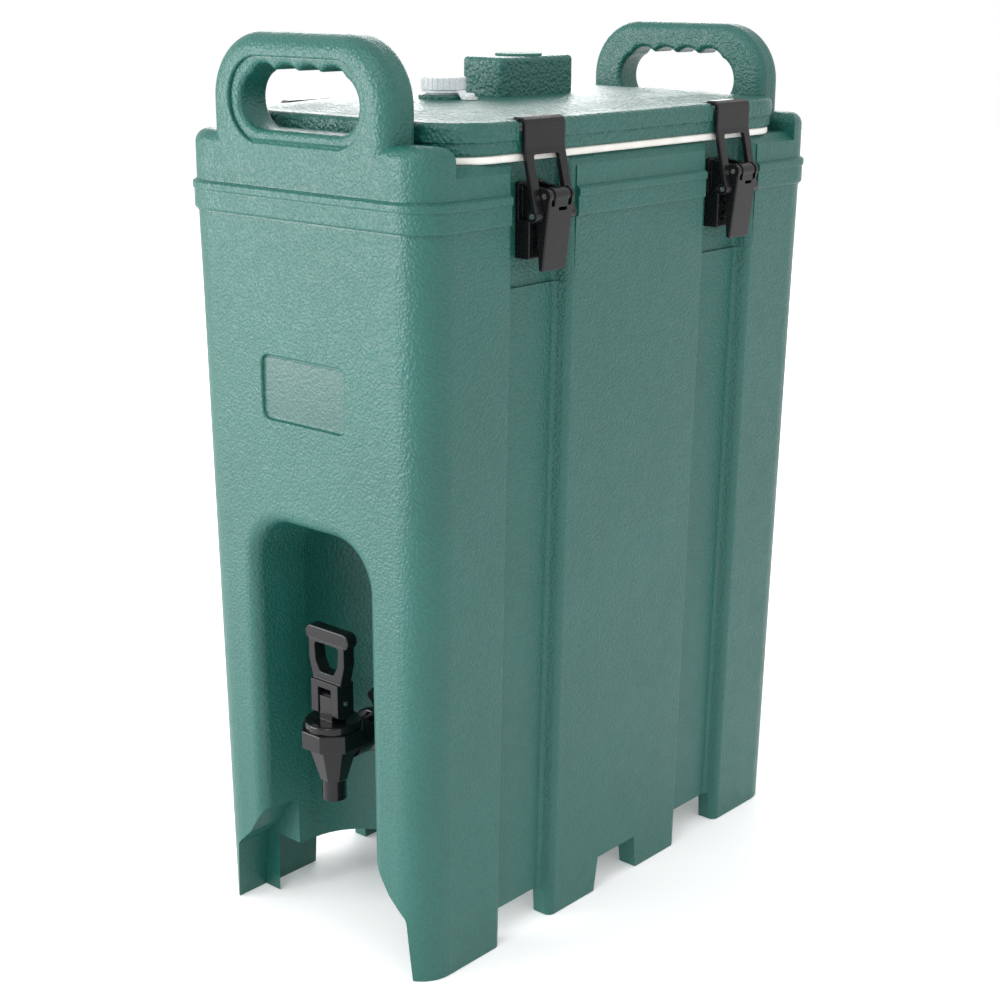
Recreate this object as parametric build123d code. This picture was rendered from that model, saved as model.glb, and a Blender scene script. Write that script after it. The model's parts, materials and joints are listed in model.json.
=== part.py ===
from build123d import *
import math
import os

# Insulated drinks carrier with a clamped lid and a serving faucet.
# Millimetres, +Z up. The origin is on the floor, in the middle of the foot print.
# The faucet niche is on the -Y face; the latches are on the +X and -X faces.

# ---- body shell ----
WALL = 4.0                     # thickness of each skin of the double wall
BODY_TOP_Z = 506.0             # where the draft ends and the band begins
FOOT_HALF_X = 102.1
FOOT_HALF_Y = 209.1
TOP_HALF_X = 111.2
TOP_HALF_Y = 212.7
CORNER_R = 25.0                # upright corners of the body
UPPER_HALF_X = 111.4           # wall above the band
UPPER_HALF_Y = 213.4
BAND_Z = (507.0, 526.5)
BAND_HALF = (113.4, 215.2)
RIDGE_Z = (520.0, 525.6)
RIDGE_HALF = (114.4, 216.0)
FOOT_EDGE_R = 1.0
LINER_TOP_Z = 530.0            # the tank liner joins the rim here
GRIP_LOW_Z = 553.0             # the end grips join the end walls here
LAND_Z = 545.5                 # flat sealing land round the mouth
RIM_DROP = 6.0                 # how far the land's outer edge slopes down
RIM_SLOPE_X = 104.0            # where that slope starts
SHOULDER_TOP_Z = 559.0
SHOULDER_IN_Y = 186.0
SHOULDER_EDGE_R = 9.0

# ---- end handles ----
HANDLE_TOP_Z = 622.0
HANDLE_HALF_X = 81.0
HANDLE_CORNER_R = 42.0
HANDLE_HOLE_Z = 580.2
HANDLE_HOLE = (107.0, 36.0)
HANDLE_RING = (122.8, 53.2)    # shallow recess round the finger hole
RING_DEPTH = 2.6
SCALLOP_R = 14.1
SCALLOP_PITCH = 20.7
SCALLOP_RISE = 4.6
SCALLOP_CUSP_R = 3.0
HOLE_EDGE_R = 4.0              # rolled edge of the finger hole
RING_EDGE_R = 1.5

# ---- plaque recess in the front ----
PLAQUE_CENTRE = (-0.5, 395.5)
PLAQUE_SIZE = (77.0, 43.0)
PLAQUE_DEPTH = 2.4
PLAQUE_CORNER_R = 6.0
PLAQUE_EDGE_R = 1.6

# ---- latch channels in the long sides ----
LATCH_Y = 104.0
CHANNEL_HALF_OUT = 29.0
CHANNEL_HALF_IN = 24.2
CHANNEL_DEPTH = 9.4
CHANNEL_EDGE_R = 6.0           # rounding where the channel meets the side face
CHANNEL_FLOOR_R = 4.0
POCKET_Z = 465.0               # ledge where the channel becomes deeper behind the latch
POCKET_X = 99.0                # pocket floor, the face each latch base is screwed to
LATCH_SCREW_Z = (491.0, 503.5)

# ---- niche for the faucet ----
NICHE_AXIS_Y = -170.0          # centre of the round back of the niche
NICHE_R = 48.5
NICHE_FRONT_HALF = 57.0
NICHE_TOP_Z = 304.0
NICHE_BACK_TOP_Z = 298.0
NICHE_CORNER_R = 32.0
NICHE_MOUTH_R = 10.0           # rounding of the niche's front edge
TRAY_Z = 47.0                  # underside of the body inside the skirt
TRAY_HALF_X = 87.0
FOAM_HOLE_Y = (30.0, 130.0)    # holes the foam is poured through, under the body

# ---- tank ----
TANK_FLOOR_Z = 81.0
TANK_STEP_Z = 338.0            # above the niche the tank runs to the front wall
TANK_LOW_Y = (-91.0, 163.0)
MOUTH_HALF = (79.0, 168.0)
MOUTH_R = 32.0

# ---- lid ----
LID_HALF = (109.5, 181.5)
LID_R = 35.0
LID_LIP_Z = 550.5
LID_STEP_Z = 558.5
LID_EDGE_Z = 571.0
LID_CROWN_Z = 576.8
PLUG_BOTTOM_Z = 526.0
PLUG_HALF = (76.5, 165.5)
BLOCK_HALF = (19.0, 38.5)
BLOCK_TOP_Z = 602.7
LATCH_NOTCH_X = 107.8
LATCH_NOTCH_HALF = 22.5
NOTCH_SEAT = [(97.0, 573.5), (99.0, 568.2), (108.3, 563.6), (118.0, 563.6), (118.0, 590.0),
              (97.0, 590.0)]   # x, z outline of the sloped seat under a hook arm's lip
LID_HOLE_R = 13.6              # foam hole in the grip block

# ---- vent ----
VENT_Y = -77.0
VENT_SEAT_Z = 579.6
VENT_HOLE_R = 8.6
ANCHOR_X = 23.5                # rivet that holds the tether's eye

# ---- faucet ----
FAUCET_Y = -191.5
SHANK_Z = 143.0
SHANK_R = 11.0
SPOT_FACE_R = 22.5             # flat seat in the niche wall for the faucet's washer
HANDLE_PIN_Z = 177.5
STEM_R = 2.6
STEM_TOP_Z = 171.0             # leaves room under the handle's pin for the stem's lift

# ---- latch ----
LEVER_PIVOT = (121.4, 524.2)   # x, z of the fixed pin
ARM_PIVOT = (118.2, 512.2)     # x, z of the pin the hook arm hangs on
BASE_HALF_Y = 13.5
BASE_LOW_Z = 484.0
BASE_FOOT_X = 110.8            # front of the raised foot the screws go through
LEVER_HALF_Y = 12.0
LEVER_EDGE_R = 1.0
HOOK_HALF_Y = 19.6
HOOK_EDGE_R = 0.8
PIN_R = 1.7
PIN_GAP = 0.05

SIDES = {"right": 1, "left": -1}
ENDS = {"front": -1, "rear": 1}


def prism(half_x, half_y, radius, z_low, z_high, centre_y=0.0):
    """Upright block with rounded corners."""
    plan = Pos(0, centre_y, z_low) * RectangleRounded(2 * half_x, 2 * half_y, radius)
    return extrude(plan, z_high - z_low)


def tapered(half_low, half_high, radius, z_low, z_high, centre_y=0.0):
    """Upright block with rounded corners and drafted walls."""
    low = Pos(0, centre_y, z_low) * RectangleRounded(2 * half_low[0], 2 * half_low[1], radius)
    high = Pos(0, centre_y, z_high) * RectangleRounded(2 * half_high[0], 2 * half_high[1], radius)
    return loft([low, high], ruled=True)


def block(x, y, z):
    """Box between two corners, given as (low, high) pairs."""
    size = [high - low for low, high in (x, y, z)]
    centre = [(high + low) / 2 for low, high in (x, y, z)]
    return Pos(*centre) * Box(*size)


def disc(radius, z_low, z_high, x=0.0, y=0.0):
    """Upright cylinder."""
    return Pos(x, y, (z_low + z_high) / 2) * Cylinder(radius, z_high - z_low)


def rod_x(radius, x_low, x_high, y, z):
    return Pos((x_low + x_high) / 2, y, z) * Rot(0, 90, 0) * Cylinder(radius, abs(x_high - x_low))


def rod_y(radius, y_low, y_high, x, z):
    return Pos(x, (y_low + y_high) / 2, z) * Rot(90, 0, 0) * Cylinder(radius, y_high - y_low)


def side_profile(points, y_low, y_high):
    """Plate cut to an outline of (x, z) points, between two y values."""
    face = make_face(Plane.XZ * Polyline(*points, close=True))
    return Pos(0, y_high, 0) * extrude(face, y_high - y_low, dir=(0, -1, 0))


def half_x_at(z):
    """Half width of the drafted body at height z."""
    return FOOT_HALF_X + (TOP_HALF_X - FOOT_HALF_X) * min(z, BODY_TOP_Z) / BODY_TOP_Z


def niche_space(grow=0.0):
    """Space of the faucet niche: round at the back, flared at the front, with a domed top."""
    radius = NICHE_CORNER_R + grow
    back_half = NICHE_R + grow
    back_top = NICHE_BACK_TOP_Z + grow
    with BuildPart() as dome:
        with BuildSketch(Plane.XZ):
            with BuildLine():
                Line((0, -1), (back_half, -1))
                Line((back_half, -1), (back_half, back_top - radius))
                RadiusArc((back_half, back_top - radius), (back_half - radius, back_top), -radius)
                Line((back_half - radius, back_top), (0, back_top))
                Line((0, back_top), (0, -1))
            make_face()
        revolve(axis=Axis.Z)
    dome_part = Pos(0, NICHE_AXIS_Y, 0) * dome.part

    def arch(half, top):
        with BuildSketch() as outline:
            with BuildLine():
                Line((-half, -1), (half, -1))
                Line((half, -1), (half, top - radius))
                RadiusArc((half, top - radius), (half - radius, top), -radius)
                Line((half - radius, top), (radius - half, top))
                RadiusArc((radius - half, top), (-half, top - radius), -radius)
                Line((-half, top - radius), (-half, -1))
            make_face()
        return outline.sketch

    mouth_y = -UPPER_HALF_Y - 6
    front = Plane(origin=(0, mouth_y, 0), x_dir=(1, 0, 0), z_dir=(0, -1, 0))
    back = Plane(origin=(0, NICHE_AXIS_Y, 0), x_dir=(1, 0, 0), z_dir=(0, -1, 0))
    flare = loft([back * arch(back_half, back_top),
                  front * arch(NICHE_FRONT_HALF + grow, NICHE_TOP_Z + grow)], ruled=True)
    return dome_part + flare


def fillet_points(corner, arm_in, arm_out, radius):
    """Start, middle and end of the arc that rounds a plan corner between two unit directions."""
    half_angle = math.acos(arm_in[0] * arm_out[0] + arm_in[1] * arm_out[1]) / 2
    reach = radius / math.tan(half_angle)
    bisector = (arm_in[0] + arm_out[0], arm_in[1] + arm_out[1])
    length = math.hypot(*bisector)
    gap = radius / math.sin(half_angle) - radius
    return [(corner[0] + reach * arm_in[0], corner[1] + reach * arm_in[1]),
            (corner[0] + gap * bisector[0] / length, corner[1] + gap * bisector[1] / length),
            (corner[0] + reach * arm_out[0], corner[1] + reach * arm_out[1])]


def channel_plan(side, y, z, floor_x):
    """Plan of a channel at height z: flat floor, slanted walls and rounded corners."""
    surface = half_x_at(z) + 0.02
    outer = surface + 8
    run = CHANNEL_HALF_OUT - CHANNEL_HALF_IN
    slope = math.hypot(run, surface - floor_x)
    wall = ((surface - floor_x) / slope, run / slope)
    foot = fillet_points((floor_x, CHANNEL_HALF_IN), (0, -1), wall, CHANNEL_FLOOR_R)
    edge = fillet_points((surface, CHANNEL_HALF_OUT), (-wall[0], -wall[1]), (0, 1), CHANNEL_EDGE_R)
    half = foot + edge + [(outer, edge[-1][1])]
    lines = []
    for mirror_sign in (1, -1):
        points = [(side * px, y + mirror_sign * py) for px, py in half]
        lines.append(ThreePointArc(*points[0:3]))
        lines.append(Line(points[2], points[3]))
        lines.append(ThreePointArc(*points[3:6]))
        lines.append(Line(points[5], points[6]))
    lines.append(Line((side * floor_x, y + half[0][1]), (side * floor_x, y - half[0][1])))
    lines.append(Line((side * outer, y + half[-1][1]), (side * outer, y - half[-1][1])))
    return Pos(0, 0, z) * make_face(lines)


def channel_space(side, y):
    """Upright channel in a long side, drafted with the wall, and the deeper latch pocket above it."""
    low = loft([channel_plan(side, y, -1.0, FOOT_HALF_X - CHANNEL_DEPTH),
                channel_plan(side, y, BODY_TOP_Z, TOP_HALF_X - CHANNEL_DEPTH)], ruled=True)
    high = extrude(channel_plan(side, y, POCKET_Z, POCKET_X), LAND_Z + 1 - POCKET_Z)
    return low + high


def channel_backing(side, y):
    """Space the skin behind a channel takes out of the foam."""
    def plan(z, floor_x):
        outer = half_x_at(z) + 8
        half = CHANNEL_HALF_OUT + WALL + 2
        points = [(side * floor_x, y - half), (side * floor_x, y + half),
                  (side * outer, y + half), (side * outer, y - half)]
        return Pos(0, 0, z) * make_face(Polyline(*points, close=True))

    depth = CHANNEL_DEPTH + WALL
    low = loft([plan(-1.0, FOOT_HALF_X - depth), plan(BODY_TOP_Z, TOP_HALF_X - depth)], ruled=True)
    return low + extrude(plan(POCKET_Z - WALL, POCKET_X - WALL), LAND_Z + 1 - POCKET_Z)


def tank_space(grow=0.0):
    """Inside of the tank: narrow behind the niche, full length above it, open at the mouth."""
    low_centre = (TANK_LOW_Y[0] + TANK_LOW_Y[1]) / 2
    low_half = (TANK_LOW_Y[1] - TANK_LOW_Y[0]) / 2
    low = tapered((70 + grow, low_half + grow), (74 + grow, low_half + grow + 1), 24 + grow,
                  TANK_FLOOR_Z - grow, TANK_STEP_Z + 20, low_centre)
    low = fillet(low.edges().group_by(Axis.Z)[0], 14)
    high = tapered((76 + grow, 165.5 + grow), (MOUTH_HALF[0] + grow, MOUTH_HALF[1] + grow),
                   MOUTH_R + grow, TANK_STEP_Z - grow, LAND_Z + 15)
    high = fillet(high.edges().group_by(Axis.Z)[0], 12)
    return low + high


def is_scallop_cusp(edge):
    """Sharp edge between two finger scallops."""
    low = HANDLE_HOLE_Z + HANDLE_HOLE[1] / 2 - SCALLOP_RISE
    return abs(edge.center().X) < HANDLE_HOLE[0] / 2 - 8 and low < edge.center().Z < low + SCALLOP_R


def face_edges(shape, y, size, z):
    """Edges of an outline of a given size that lie in one upright plane."""
    def on_outline(edge):
        box = edge.bounding_box()
        inside = max(abs(box.min.X), abs(box.max.X)) < size[0] / 2 + 0.6
        near = max(abs(box.min.Z - z), abs(box.max.Z - z)) < size[1] / 2 + 6
        return box.size.Y < 0.01 and abs(edge.center().Y - y) < 0.05 and inside and near
    return shape.edges().filter_by(on_outline)


def end_handle(end):
    """Carrying handle moulded on one end: a plate with a finger hole, recessed ring and scallops."""
    thickness = UPPER_HALF_Y - SHOULDER_IN_Y
    outer_plane = Plane(origin=(0, -UPPER_HALF_Y, 0), x_dir=(1, 0, 0), z_dir=(0, -1, 0))
    low_z = LAND_Z - 8
    plate = Pos(0, 0, (HANDLE_TOP_Z + low_z) / 2) * Box(
        2 * HANDLE_HALF_X, thickness, HANDLE_TOP_Z - low_z)
    plate = Pos(0, -(UPPER_HALF_Y + SHOULDER_IN_Y) / 2, 0) * plate
    top_corners = plate.edges().filter_by(Axis.Y).group_by(Axis.Z)[-1]
    plate = fillet(top_corners, HANDLE_CORNER_R)
    outer_edges = plate.faces().sort_by(Axis.Y)[0].edges().filter_by(
        lambda edge: edge.center().Z > low_z + 1)
    plate = fillet(outer_edges, 12)
    inner_edges = plate.faces().sort_by(Axis.Y)[-1].edges().filter_by(
        lambda edge: edge.center().Z > low_z + 1)
    plate = fillet(inner_edges, 7)

    def slot(size, z, depth):
        outline = RectangleRounded(size[0], size[1], size[1] / 2 - 0.1)
        return extrude(outer_plane * Pos(0, z) * outline, -depth)

    plate -= slot(HANDLE_RING, HANDLE_HOLE_Z + 0.5, RING_DEPTH)
    hole = extrude(outer_plane * Pos(0, HANDLE_HOLE_Z) * RectangleRounded(
        HANDLE_HOLE[0], HANDLE_HOLE[1], HANDLE_HOLE[1] / 2 - 0.1), -thickness - 1)
    scallop_z = HANDLE_HOLE_Z + HANDLE_HOLE[1] / 2 + SCALLOP_RISE - SCALLOP_R
    for step in (-1.5, -0.5, 0.5, 1.5):
        finger = outer_plane * Pos(step * SCALLOP_PITCH, scallop_z) * Circle(SCALLOP_R)
        hole += extrude(finger, -thickness - 1)
    plate -= hole
    plate = fillet(plate.edges().filter_by(Axis.Y).filter_by(is_scallop_cusp), SCALLOP_CUSP_R)
    plate = fillet(face_edges(plate, RING_DEPTH - UPPER_HALF_Y, HANDLE_HOLE, HANDLE_HOLE_Z), HOLE_EDGE_R)
    plate = fillet(face_edges(plate, -SHOULDER_IN_Y, HANDLE_HOLE, HANDLE_HOLE_Z), HOLE_EDGE_R)
    plate = fillet(face_edges(plate, -UPPER_HALF_Y, HANDLE_RING, HANDLE_HOLE_Z + 0.5), RING_EDGE_R)
    if end > 0:
        plate = mirror(plate, Plane.XZ)
    return plate


def body_outside():
    """Outer form of the body with its niche and label recess, without channels or tank."""
    lower = tapered((FOOT_HALF_X, FOOT_HALF_Y), (TOP_HALF_X, TOP_HALF_Y), CORNER_R, 0, BODY_TOP_Z)
    upper = prism(UPPER_HALF_X, UPPER_HALF_Y, CORNER_R, BODY_TOP_Z, LAND_Z)
    band = prism(BAND_HALF[0], BAND_HALF[1], CORNER_R + 2, *BAND_Z)
    band = fillet(band.edges().group_by(Axis.Z)[0] + band.edges().group_by(Axis.Z)[-1], 2.0)
    ridge = prism(RIDGE_HALF[0], RIDGE_HALF[1], CORNER_R + 2.8, *RIDGE_Z)
    ridge = fillet(ridge.edges().group_by(Axis.Z)[0] + ridge.edges().group_by(Axis.Z)[-1], 1.5)
    return round_niche_mouth(cut_plaque(lower + upper + band + ridge))


def cut_plaque(body):
    """Shallow label recess in the front, with soft edges."""
    face_y = FOOT_HALF_Y + (TOP_HALF_Y - FOOT_HALF_Y) * PLAQUE_CENTRE[1] / BODY_TOP_Z
    floor_y = PLAQUE_DEPTH - face_y
    recess = Pos(PLAQUE_CENTRE[0], floor_y - 10, PLAQUE_CENTRE[1]) * Box(PLAQUE_SIZE[0], 20, PLAQUE_SIZE[1])
    recess = fillet(recess.edges().filter_by(Axis.Y), PLAQUE_CORNER_R)
    recess = fillet(recess.faces().sort_by(Axis.Y)[-1].edges(), PLAQUE_EDGE_R / 2)
    body = body - recess

    def on_rim(edge):
        centre = edge.center()
        box = edge.bounding_box()
        return (centre.Y < floor_y - 1 and box.size.Y < 1 and abs(centre.X - PLAQUE_CENTRE[0]) < 40
                and abs(centre.Z - PLAQUE_CENTRE[1]) < 24)
    return fillet(body.edges().filter_by(on_rim), PLAQUE_EDGE_R)


def round_niche_mouth(body):
    """Cut the niche and round its front edge."""
    body = body - niche_space()

    def on_mouth(edge):
        centre = edge.center()
        return (centre.Y < -FOOT_HALF_Y + 1 and abs(centre.X) < NICHE_FRONT_HALF + 1
                and 1 < centre.Z < NICHE_TOP_Z + 2)
    return fillet(body.edges().filter_by(on_mouth), NICHE_MOUTH_R)


def shoulders():
    """Raised end walls that the handles stand on."""
    full = prism(UPPER_HALF_X, UPPER_HALF_Y, CORNER_R, LAND_Z - 20, SHOULDER_TOP_Z)
    full = fillet(full.edges().group_by(Axis.Z)[-1], SHOULDER_EDGE_R)
    half = block((-130, 130), (SHOULDER_IN_Y, 230), (500, SHOULDER_TOP_Z))
    inner_edge = half.edges().filter_by(Axis.X).group_by(Axis.Z)[-1].sort_by(Axis.Y)[0]
    half = fillet(inner_edge, SHOULDER_EDGE_R)
    rear = full & half
    return [rear, mirror(rear, Plane.XZ)]


def rim_slopes():
    """Wedges removed so that the rim of the long sides slopes down to its outer edge."""
    wedges = []
    for side in SIDES.values():
        points = [(side * RIM_SLOPE_X, LAND_Z), (side * (UPPER_HALF_X + 1), LAND_Z - RIM_DROP - 0.8),
                  (side * (UPPER_HALF_X + 1), LAND_Z + 3), (side * RIM_SLOPE_X, LAND_Z + 3)]
        wedges.append(side_profile(points, -SHOULDER_IN_Y, SHOULDER_IN_Y))
    return wedges


def foot_cuts():
    """Openings that leave separate feet along the skirt, and the hollow under the body."""
    cuts = [prism(TRAY_HALF_X, 187.5, 14, -1, TRAY_Z, 7.5)]
    for side in SIDES.values():
        for end in ENDS.values():
            y = end * LATCH_Y
            points = [(y - 27, -1), (y - 25.5, 23), (y + 25.5, 23), (y + 27, -1)]
            face = make_face(Plane.YZ * Polyline(*points, close=True))
            cuts.append(Pos(side * 104, 0, 0) * extrude(face, 22, both=True))
        notch = make_face(Plane.YZ * Polyline((-26, -1), (-22, 27), (22, 27), (26, -1), close=True))
        cuts.append(Pos(side * 104, 0, 0) * extrude(notch, 22, both=True))
    rear = make_face(Plane.XZ * Polyline((-70, -1), (-62, 27), (62, 27), (70, -1), close=True))
    cuts.append(Pos(0, 230, 0) * extrude(rear, 50, dir=(0, -1, 0)))
    front = make_face(Plane.XZ * Polyline((-89, -1), (-85, 46), (-70, 60), (-56, 82),
                                          (56, 82), (70, 60), (85, 46), (89, -1), close=True))
    front_cut = Pos(0, -180, 0) * extrude(front, 50, dir=(0, -1, 0))
    long_edges = front_cut.edges().filter_by(Axis.Y).filter_by(lambda edge: edge.center().Z > 40)
    cuts.append(fillet(long_edges.filter_by(lambda edge: edge.center().Z < 70), 9))
    return cuts


def body_shell_and_core():
    """The one-piece double-wall shell and the foam core that fills it."""
    outside = body_outside()
    for wall in shoulders():
        outside += wall
    for end in ENDS.values():
        outside += end_handle(end)
    for wedge in rim_slopes():
        outside -= wedge

    core = tapered((FOOT_HALF_X - WALL, FOOT_HALF_Y - WALL), (TOP_HALF_X - WALL, TOP_HALF_Y - WALL),
                   CORNER_R - WALL, TRAY_Z + WALL, LAND_Z - 12)
    core -= niche_space(WALL)
    core -= tank_space(WALL)
    for side in SIDES.values():
        for end in ENDS.values():
            core -= channel_backing(side, end * LATCH_Y)
            outside -= channel_space(side, end * LATCH_Y)
            for z in LATCH_SCREW_Z:
                core -= rod_x(6, 60 * side, 108 * side, end * LATCH_Y, z)
    core -= rod_y(SPOT_FACE_R + 5, -140, -85, 0, SHANK_Z)
    core -= block((-95, 95), (-230, -176), (0, 90))

    outside -= rod_y(SPOT_FACE_R, -150, NICHE_AXIS_Y + NICHE_R, 0, SHANK_Z)
    for cut in foot_cuts():
        outside -= cut
    bottom = outside.edges().filter_by(lambda edge: edge.bounding_box().max.Z < 0.01)
    outside = fillet(bottom, FOOT_EDGE_R)
    shell = outside - core - tank_space()
    shell -= rod_y(SHANK_R + 0.1, -130, -85, 0, SHANK_Z)
    for y in FOAM_HOLE_Y:
        shell -= disc(9.1, TRAY_Z - 1, TRAY_Z + WALL + 0.5, 0, y)
    for side in SIDES.values():
        for end in ENDS.values():
            for z in LATCH_SCREW_Z:
                shell -= rod_x(1.85, 86 * side, 105 * side, end * LATCH_Y, z)
    return shell, core


def split_moulding(moulding):
    """The moulding as four pieces: outer skin, tank liner and the two end grips."""
    liner = tank_space(WALL) & block((-130, 130), (-230, 230), (0, LINER_TOP_Z))
    liner = liner & moulding
    above = block((-130, 130), (SHOULDER_IN_Y - 20, 230), (GRIP_LOW_Z, HANDLE_TOP_Z + 5))
    grips = [moulding & mirror(above, Plane.XZ), moulding & above]
    skin = moulding - tank_space(WALL) - block((-130, 130), (-230, 230), (GRIP_LOW_Z, HANDLE_TOP_Z + 5))
    rim = moulding & block((-130, 130), (-230, 230), (LINER_TOP_Z, GRIP_LOW_Z))
    return skin + rim, liner, grips


def foam_plugs():
    """Press-in plugs that close the two holes the foam was poured through."""
    plugs = []
    for y in FOAM_HOLE_Y:
        stem = disc(9.0, TRAY_Z - 0.01, TRAY_Z + WALL, 0, y)
        head = disc(12.0, TRAY_Z - 1.8, TRAY_Z, 0, y)
        plugs.append(stem + head)
    return plugs


# ---------------------------------------------------------------- lid
def lid_form():
    """Outside of the lid: lower lip, slab, crowned top, grip block and the plug that fills the mouth."""
    lip = prism(LID_HALF[0] - 1.2, LID_HALF[1] - 1.2, LID_R - 1, LID_LIP_Z, LID_STEP_Z)
    lip = fillet(lip.edges().group_by(Axis.Z)[0], 2.5)
    slab = prism(LID_HALF[0], LID_HALF[1], LID_R, LID_STEP_Z, LID_EDGE_Z)
    slab = fillet(slab.edges().group_by(Axis.Z)[0], 1.2)
    slab = fillet(slab.edges().group_by(Axis.Z)[-1], 4.0)
    crown = loft([
        Pos(0, 0, LID_EDGE_Z - 1) * RectangleRounded(2 * 104.5, 2 * 176.5, 31),
        Pos(0, 0, LID_EDGE_Z + 3.6) * RectangleRounded(2 * 76, 2 * 146, 30),
        Pos(0, 0, LID_CROWN_Z) * RectangleRounded(2 * 44, 2 * 112, 28)], ruled=True)
    plug = tapered((PLUG_HALF[0] - 1.5, PLUG_HALF[1] - 1.5), PLUG_HALF, 29, PLUG_BOTTOM_Z, LID_LIP_Z)
    plug = fillet(plug.edges().group_by(Axis.Z)[0], 5)
    grip = prism(BLOCK_HALF[0], BLOCK_HALF[1], 4.5, LID_EDGE_Z, BLOCK_TOP_Z)
    grip = fillet(grip.edges().group_by(Axis.Z)[-1], 3.0)
    boss = disc(17.0, LID_EDGE_Z, VENT_SEAT_Z, 0, VENT_Y)
    boss = fillet(boss.edges().group_by(Axis.Z)[-1], 1.2)
    return plug + lip + slab + crown + grip + boss


def lid_notch(side, y):
    """Recess in the lid's edge that a hook arm lies in, with a sloped seat for its lip."""
    upright = block((LATCH_NOTCH_X, 120), (-LATCH_NOTCH_HALF, LATCH_NOTCH_HALF), (540, 590))
    upright = fillet(upright.edges().filter_by(Axis.Z).group_by(Axis.X)[0], 1.5)
    seat = side_profile(NOTCH_SEAT, -LATCH_NOTCH_HALF, LATCH_NOTCH_HALF)
    notch = Pos(0, y, 0) * (upright + seat)
    return notch if side > 0 else mirror(notch, Plane.YZ)


def lid_shell_and_core():
    """Double-wall lid moulding and its foam core."""
    form = lid_form()
    core = prism(PLUG_HALF[0] - 6, PLUG_HALF[1] - 6, 24, PLUG_BOTTOM_Z + 4, LID_LIP_Z + 6)
    core += prism(93, 165, 26, LID_LIP_Z + 4, LID_EDGE_Z - 5)
    core += prism(BLOCK_HALF[0] - 4, BLOCK_HALF[1] - 4, 3, LID_EDGE_Z - 6, BLOCK_TOP_Z - 4)
    core -= disc(14, 500, 600, 0, VENT_Y)
    shell = form - core
    for side in SIDES.values():
        for end in ENDS.values():
            shell -= lid_notch(side, end * LATCH_Y)
    shell -= disc(LID_HOLE_R, BLOCK_TOP_Z - 5, BLOCK_TOP_Z + 1)
    shell -= disc(VENT_HOLE_R, 500, 600, 0, VENT_Y)
    shell -= disc(1.6, LID_EDGE_Z - 2, LID_EDGE_Z + 20, ANCHOR_X, VENT_Y)
    return shell, core


def lid_foam_plug():
    """Disc pressed into the grip block's foam hole; its rim shows as a thin raised disc."""
    stem = disc(LID_HOLE_R - 0.1, BLOCK_TOP_Z - 4, BLOCK_TOP_Z + 0.5)
    head = disc(16.4, BLOCK_TOP_Z, BLOCK_TOP_Z + 1.7)
    head = fillet(head.edges().group_by(Axis.Z)[-1], 0.7)
    return stem + head


def lid_gasket():
    """Flat silicone ring that the lid's lip presses on to the body's land."""
    ring = prism(107.2, 178.6, 33, LAND_Z, LID_LIP_Z)
    ring = fillet(ring.edges().group_by(Axis.Z)[0] + ring.edges().group_by(Axis.Z)[-1], 1.4)
    return ring - prism(81.0, 170.0, 31, LAND_Z - 1, LID_LIP_Z + 1)


# ---------------------------------------------------------------- vent
def vent_neck():
    """Threaded tube through the lid that lets steam out when its cap is loosened."""
    neck = disc(VENT_HOLE_R - 0.1, PLUG_BOTTOM_Z - 2, VENT_SEAT_Z, 0, VENT_Y)
    neck += disc(12.0, VENT_SEAT_Z, VENT_SEAT_Z + 1.4, 0, VENT_Y)
    neck += disc(8.8, VENT_SEAT_Z, VENT_SEAT_Z + 9.2, 0, VENT_Y)
    return neck - disc(6.0, 500, 600, 0, VENT_Y)


def vent_tether():
    """Flat strap: a ring round the neck, a short arm and an eye held by the anchor."""
    low, high = VENT_SEAT_Z + 1.5, VENT_SEAT_Z + 3.1
    ring = disc(14.6, low, high, 0, VENT_Y) - disc(9.3, low - 1, high + 1, 0, VENT_Y)
    arm = block((12.0, 16.4), (VENT_Y - 3.4, VENT_Y + 3.4), (low, high))
    eye_low, eye_high = LID_CROWN_Z + 0.3, LID_CROWN_Z + 1.9
    drop = side_profile([(15.0, low), (15.0, high), (16.6, high), (ANCHOR_X - 4, eye_high),
                         (ANCHOR_X - 4, eye_low), (19.2, eye_low), (16.2, low)],
                        VENT_Y - 3.4, VENT_Y + 3.4)
    eye = disc(5.6, eye_low, eye_high, ANCHOR_X, VENT_Y)
    eye -= disc(1.8, eye_low - 1, eye_high + 1, ANCHOR_X, VENT_Y)
    return ring + arm + drop + eye


def tether_anchor():
    """Push rivet that holds the eye of the tether to the lid."""
    stem = disc(1.5, LID_EDGE_Z - 1.5, LID_CROWN_Z + 3.0, ANCHOR_X, VENT_Y)
    head = disc(3.7, LID_CROWN_Z + 2.0, LID_CROWN_Z + 4.4, ANCHOR_X, VENT_Y)
    head = fillet(head.edges().group_by(Axis.Z)[-1], 1.2)
    return stem + head


def vent_cap():
    """Knurled screw cap over the vent neck."""
    low, high = VENT_SEAT_Z + 3.4, VENT_SEAT_Z + 11.8
    cap = disc(15.2, low, high, 0, VENT_Y)
    cap = fillet(cap.edges().group_by(Axis.Z)[-1], 1.4)
    cap -= disc(10.4, low - 1, high - 2.0, 0, VENT_Y)
    flute_count = 24
    for turn in range(flute_count):
        angle = math.radians(360 / flute_count * turn)
        cap -= disc(0.9, low - 1, high + 1, 15.6 * math.cos(angle), VENT_Y + 15.6 * math.sin(angle))
    return cap


def vent_washer():
    """Soft disc inside the cap that closes the neck and rises with the cap."""
    return disc(8.4, VENT_SEAT_Z + 9.25, VENT_SEAT_Z + 9.75, 0, VENT_Y)


# ---------------------------------------------------------------- latches (modelled on the +X side)
def latch_place(shape, side, y):
    """Move a latch piece, modelled on the +X side about y = 0, to its place."""
    moved = Pos(0, y, 0) * shape
    return moved if side > 0 else mirror(moved, Plane.YZ)


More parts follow.
